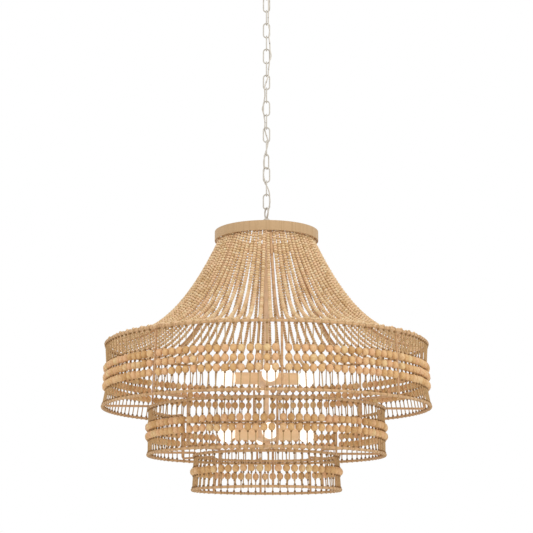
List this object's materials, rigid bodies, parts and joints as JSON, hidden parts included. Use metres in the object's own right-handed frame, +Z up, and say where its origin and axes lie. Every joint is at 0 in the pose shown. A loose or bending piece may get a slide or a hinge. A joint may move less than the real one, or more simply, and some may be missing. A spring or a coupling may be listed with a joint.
{
  "type": "beaded chandelier",
  "caption": "Three-tier chandelier of wooden bead strings on wire rings under a flared beaded bell, hung from a canopy on a link chain, with two clusters of globe lamps inside",
  "frame": {"origin": "on the ceiling, on the chandelier's middle line, where the canopy is fixed", "axes": "+Z up to the ceiling; +X to the right and -Y to the viewer in the picture"},
  "size_m": [0.9006, 0.9006, 1.4862],
  "materials": {
    "bracket_metal": "satin",
    "canopy_paint": "satin",
    "chain_paint": "satin",
    "cord_jacket": "matt",
    "stem_paint": "satin",
    "hub_paint": "satin",
    "sleeve_card": "matt",
    "bulb_glass": "opal",
    "straw_wrap": "wound strip, matt",
    "wrapped_wire": "wound strip over wire, matt",
    "small_wood_beads": "unvarnished",
    "wood_beads": "unvarnished"
  },
  "bodies": {
    "canopy": {"ceiling_bracket": "bracket_metal", "canopy_shell": "canopy_paint", "canopy_loop": "chain_paint", "supply_cord": "cord_jacket"},
    "link_01": {"chain_link_01": "chain_paint"},
    "link_02": {"chain_link_02": "chain_paint"},
    "link_03": {"chain_link_03": "chain_paint"},
    "link_04": {"chain_link_04": "chain_paint"},
    "link_05": {"chain_link_05": "chain_paint"},
    "link_06": {"chain_link_06": "chain_paint"},
    "link_07": {"chain_link_07": "chain_paint"},
    "link_08": {"chain_link_08": "chain_paint"},
    "link_09": {"chain_link_09": "chain_paint"},
    "link_10": {"chain_link_10": "chain_paint"},
    "link_11": {"chain_link_11": "chain_paint"},
    "link_12": {"chain_link_12": "chain_paint"},
    "link_13": {"chain_link_13": "chain_paint"},
    "link_14": {"chain_link_14": "chain_paint"},
    "link_15": {"chain_link_15": "chain_paint"},
    "link_16": {"chain_link_16": "chain_paint"},
    "body": {"body_loop": "chain_paint", "stem_tube": "stem_paint", "upper_hub": "hub_paint", "lower_hub": "hub_paint", "finial": "stem_paint", "top_hoop": "straw_wrap", "upper_lamp_sleeve_1": "sleeve_card", "upper_lamp_sleeve_2": "sleeve_card", "upper_lamp_sleeve_3": "sleeve_card", "upper_lamp_sleeve_4": "sleeve_card", "upper_bulb_1": "bulb_glass", "upper_bulb_2": "bulb_glass", "upper_bulb_3": "bulb_glass", "upper_bulb_4": "bulb_glass", "lower_lamp_sleeve_1": "sleeve_card", "lower_lamp_sleeve_2": "sleeve_card", "lower_lamp_sleeve_3": "sleeve_card", "lower_lamp_sleeve_4": "sleeve_card", "lower_bulb_1": "bulb_glass", "lower_bulb_2": "bulb_glass", "lower_bulb_3": "bulb_glass", "lower_bulb_4": "bulb_glass", "tier_1_top_ring": "wrapped_wire", "tier_1_foot_ring": "wrapped_wire", "tier_2_top_ring": "wrapped_wire", "tier_2_foot_ring": "wrapped_wire", "tier_3_top_ring": "wrapped_wire", "tier_3_foot_ring": "wrapped_wire", "rib_1": "wrapped_wire", "rib_2": "wrapped_wire", "rib_3": "wrapped_wire", "rib_4": "wrapped_wire", "rib_5": "wrapped_wire", "rib_6": "wrapped_wire", "rib_7": "wrapped_wire", "rib_8": "wrapped_wire", "tier_1_bead_strings": "wood_beads", "tier_2_bead_strings": "wood_beads", "tier_3_bead_strings": "wood_beads", "bell_bead_strands": "small_wood_beads"}
  },
  "joints": [
    {"name": "swing_01", "type": "hinge", "parent": "canopy", "child": "link_01", "pos_m": [0, 0, -0.0626], "axis": [0, 1, 0], "range_deg": [-45, 45], "deforming": ["supply_cord"]},
    {"name": "swing_02", "type": "hinge", "parent": "link_01", "child": "link_02", "pos_m": [0, 0, -0.10195], "axis": [1, 0, 0], "range_deg": [-45, 45]},
    {"name": "swing_03", "type": "hinge", "parent": "link_02", "child": "link_03", "pos_m": [0, 0, -0.14155], "axis": [0, -1, 0], "range_deg": [-45, 45]},
    {"name": "swing_04", "type": "hinge", "parent": "link_03", "child": "link_04", "pos_m": [0, 0, -0.18115], "axis": [-1, 0, 0], "range_deg": [-45, 45]},
    {"name": "swing_05", "type": "hinge", "parent": "link_04", "child": "link_05", "pos_m": [0, 0, -0.22075], "axis": [0, 1, 0], "range_deg": [-45, 45]},
    {"name": "swing_06", "type": "hinge", "parent": "link_05", "child": "link_06", "pos_m": [0, 0, -0.26035], "axis": [1, 0, 0], "range_deg": [-45, 45]},
    {"name": "swing_07", "type": "hinge", "parent": "link_06", "child": "link_07", "pos_m": [0, 0, -0.29995], "axis": [0, -1, 0], "range_deg": [-45, 45]},
    {"name": "swing_08", "type": "hinge", "parent": "link_07", "child": "link_08", "pos_m": [0, 0, -0.33955], "axis": [-1, 0, 0], "range_deg": [-45, 45]},
    {"name": "swing_09", "type": "hinge", "parent": "link_08", "child": "link_09", "pos_m": [0, 0, -0.37915], "axis": [0, 1, 0], "range_deg": [-45, 45]},
    {"name": "swing_10", "type": "hinge", "parent": "link_09", "child": "link_10", "pos_m": [0, 0, -0.41875], "axis": [1, 0, 0], "range_deg": [-45, 45]},
    {"name": "swing_11", "type": "hinge", "parent": "link_10", "child": "link_11", "pos_m": [0, 0, -0.45835], "axis": [0, -1, 0], "range_deg": [-45, 45]},
    {"name": "swing_12", "type": "hinge", "parent": "link_11", "child": "link_12", "pos_m": [0, 0, -0.49795], "axis": [-1, 0, 0], "range_deg": [-45, 45]},
    {"name": "swing_13", "type": "hinge", "parent": "link_12", "child": "link_13", "pos_m": [0, 0, -0.53755], "axis": [0, 1, 0], "range_deg": [-35, 35]},
    {"name": "swing_14", "type": "hinge", "parent": "link_13", "child": "link_14", "pos_m": [0, 0, -0.57715], "axis": [0.7071, 0.7071, 0], "range_deg": [-35, 35]},
    {"name": "swing_15", "type": "hinge", "parent": "link_14", "child": "link_15", "pos_m": [0, 0, -0.61675], "axis": [1, 0, 0], "range_deg": [-45, 45]},
    {"name": "swing_16", "type": "hinge", "parent": "link_15", "child": "link_16", "pos_m": [0, 0, -0.65635], "axis": [0, -1, 0], "range_deg": [-45, 45]},
    {"name": "swing_17", "type": "hinge", "parent": "link_16", "child": "body", "pos_m": [0, 0, -0.69595], "axis": [-1, 0, 0], "range_deg": [-45, 45]}
  ]
}
